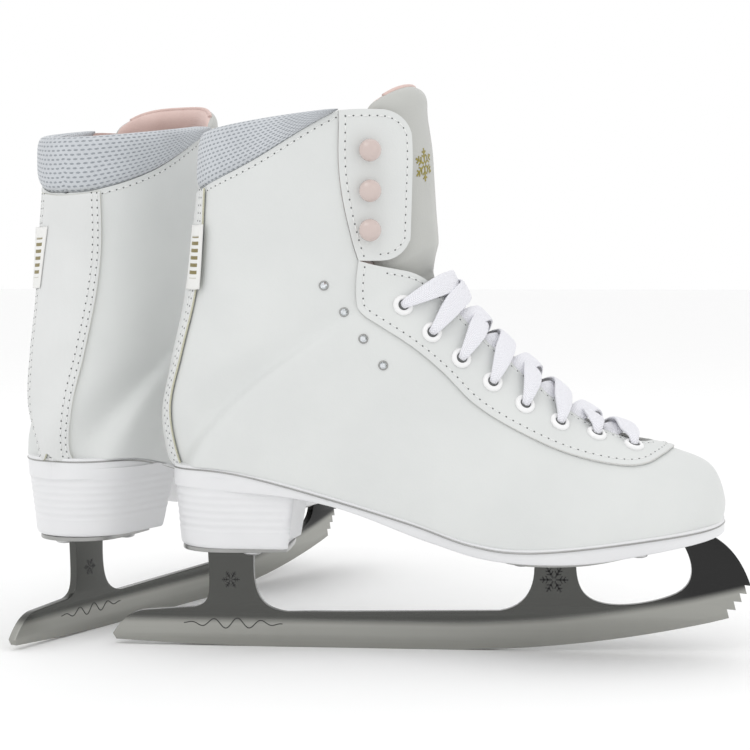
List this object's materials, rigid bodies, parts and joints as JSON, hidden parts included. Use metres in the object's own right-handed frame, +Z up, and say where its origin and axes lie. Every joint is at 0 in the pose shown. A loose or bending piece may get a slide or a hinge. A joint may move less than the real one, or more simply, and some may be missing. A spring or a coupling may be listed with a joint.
{
  "type": "ice skates",
  "caption": "Pair of laced figure skates with padded collars, opening hook flaps and tongues, heeled soles and screwed-on steel blades with toe picks.",
  "frame": {"origin": "on the ice, under the middle of the pair's bounding box", "axes": "+X points to the right skate's toe, +Y to its left side, +Z up; the left skate stands behind it, turned 66 degrees to the left"},
  "size_m": [0.3402, 0.291, 0.256],
  "materials": {
    "boot_leather": "smooth coated leather, fine grain, soft sheen",
    "facing_leather": "smooth coated leather with stitched edges",
    "strip_leather": "smooth coated leather, double stitched",
    "tongue_leather": "smooth coated leather over foam, satin",
    "boot_lining": "brushed rose lining",
    "footbed": "brushed cloth over foam",
    "collar_mesh": "open spacer mesh over foam, matte",
    "sole_unit": "moulded, soft gloss",
    "blade_steel": "polished upper part, ground lower band",
    "plate_steel": "polished edge",
    "screw_steel": "plain",
    "lace_weave": "flat tubular weave, matte",
    "hook_enamel": "glossy enamel"
  },
  "bodies": {
    "right_skate": {"right_runner": "blade_steel", "right_heel_plate": "plate_steel", "right_sole_plate": "plate_steel", "right_heel_screw_1": "screw_steel", "right_heel_screw_2": "screw_steel", "right_heel_screw_3": "screw_steel", "right_heel_screw_4": "screw_steel", "right_sole_screw_1": "screw_steel", "right_sole_screw_2": "screw_steel", "right_sole_screw_3": "screw_steel", "right_sole_screw_4": "screw_steel", "right_outsole": "sole_unit", "right_insole": "footbed", "right_upper": "boot_leather", "right_lining": "boot_lining", "right_collar": "collar_mesh", "right_heel_strip": "strip_leather", "right_tongue_base": "tongue_leather", "right_lace": "lace_weave", "right_facing_outer": "facing_leather", "right_facing_inner": "facing_leather"},
    "right_tongue": {"right_tongue_top": "tongue_leather"},
    "right_outer_flap": {"right_flap_outer": "facing_leather", "right_hook_outer_1": "hook_enamel", "right_hook_outer_2": "hook_enamel", "right_hook_outer_3": "hook_enamel"},
    "right_inner_flap": {"right_flap_inner": "facing_leather", "right_hook_inner_1": "hook_enamel", "right_hook_inner_2": "hook_enamel", "right_hook_inner_3": "hook_enamel"},
    "left_skate": {"left_runner": "blade_steel", "left_heel_plate": "plate_steel", "left_sole_plate": "plate_steel", "left_heel_screw_1": "screw_steel", "left_heel_screw_2": "screw_steel", "left_heel_screw_3": "screw_steel", "left_heel_screw_4": "screw_steel", "left_sole_screw_1": "screw_steel", "left_sole_screw_2": "screw_steel", "left_sole_screw_3": "screw_steel", "left_sole_screw_4": "screw_steel", "left_outsole": "sole_unit", "left_insole": "footbed", "left_upper": "boot_leather", "left_lining": "boot_lining", "left_collar": "collar_mesh", "left_heel_strip": "strip_leather", "left_tongue_base": "tongue_leather", "left_lace": "lace_weave", "left_facing_outer": "facing_leather", "left_facing_inner": "facing_leather"},
    "left_tongue": {"left_tongue_top": "tongue_leather"},
    "left_outer_flap": {"left_flap_outer": "facing_leather", "left_hook_outer_1": "hook_enamel", "left_hook_outer_2": "hook_enamel", "left_hook_outer_3": "hook_enamel"},
    "left_inner_flap": {"left_flap_inner": "facing_leather", "left_hook_inner_1": "hook_enamel", "left_hook_inner_2": "hook_enamel", "left_hook_inner_3": "hook_enamel"}
  },
  "joints": [
    {"name": "left_skate_lift", "type": "slide", "parent": "right_skate", "child": "left_skate", "axis": [0, 0, 1], "range_m": [0, 0.3]},
    {"name": "right_tongue_fold", "type": "hinge", "parent": "right_skate", "child": "right_tongue", "pos_m": [0.02703, -0.10087, 0.184], "axis": [0, 1, 0], "range_deg": [0, 30], "stiffness_Nm_per_rad": 0.2},
    {"name": "right_outer_flap_open", "type": "hinge", "parent": "right_skate", "child": "right_outer_flap", "pos_m": [-0.00441, -0.13411, 0.1779], "axis": [0.1232, 0.0948, -0.9878], "range_deg": [0, 54], "stiffness_Nm_per_rad": 0.05},
    {"name": "right_inner_flap_open", "type": "hinge", "parent": "right_skate", "child": "right_inner_flap", "pos_m": [-0.00442, -0.06858, 0.1779], "axis": [-0.1232, 0.0919, 0.9881], "range_deg": [0, 54], "stiffness_Nm_per_rad": 0.05},
    {"name": "left_tongue_fold", "type": "hinge", "parent": "left_skate", "child": "left_tongue", "pos_m": [-0.10414, 0.014, 0.184], "axis": [-0.9135, 0.4067, 0], "range_deg": [0, 30], "stiffness_Nm_per_rad": 0.2},
    {"name": "left_outer_flap_open", "type": "hinge", "parent": "left_skate", "child": "left_outer_flap", "pos_m": [-0.14729, -0.0012, 0.1779], "axis": [-0.1367, -0.074, 0.9878], "range_deg": [0, 54], "stiffness_Nm_per_rad": 0.05},
    {"name": "left_inner_flap_open", "type": "hinge", "parent": "left_skate", "child": "left_inner_flap", "pos_m": [-0.08743, -0.02787, 0.1779], "axis": [-0.0339, 0.15, -0.9881], "range_deg": [0, 54], "stiffness_Nm_per_rad": 0.05}
  ],
  "couplings": [
    {"joint": "right_outer_flap_open", "follows": "right_tongue_fold", "ratio": 1.8},
    {"joint": "right_inner_flap_open", "follows": "right_tongue_fold", "ratio": 1.8},
    {"joint": "left_outer_flap_open", "follows": "left_tongue_fold", "ratio": 1.8},
    {"joint": "left_inner_flap_open", "follows": "left_tongue_fold", "ratio": 1.8}
  ]
}
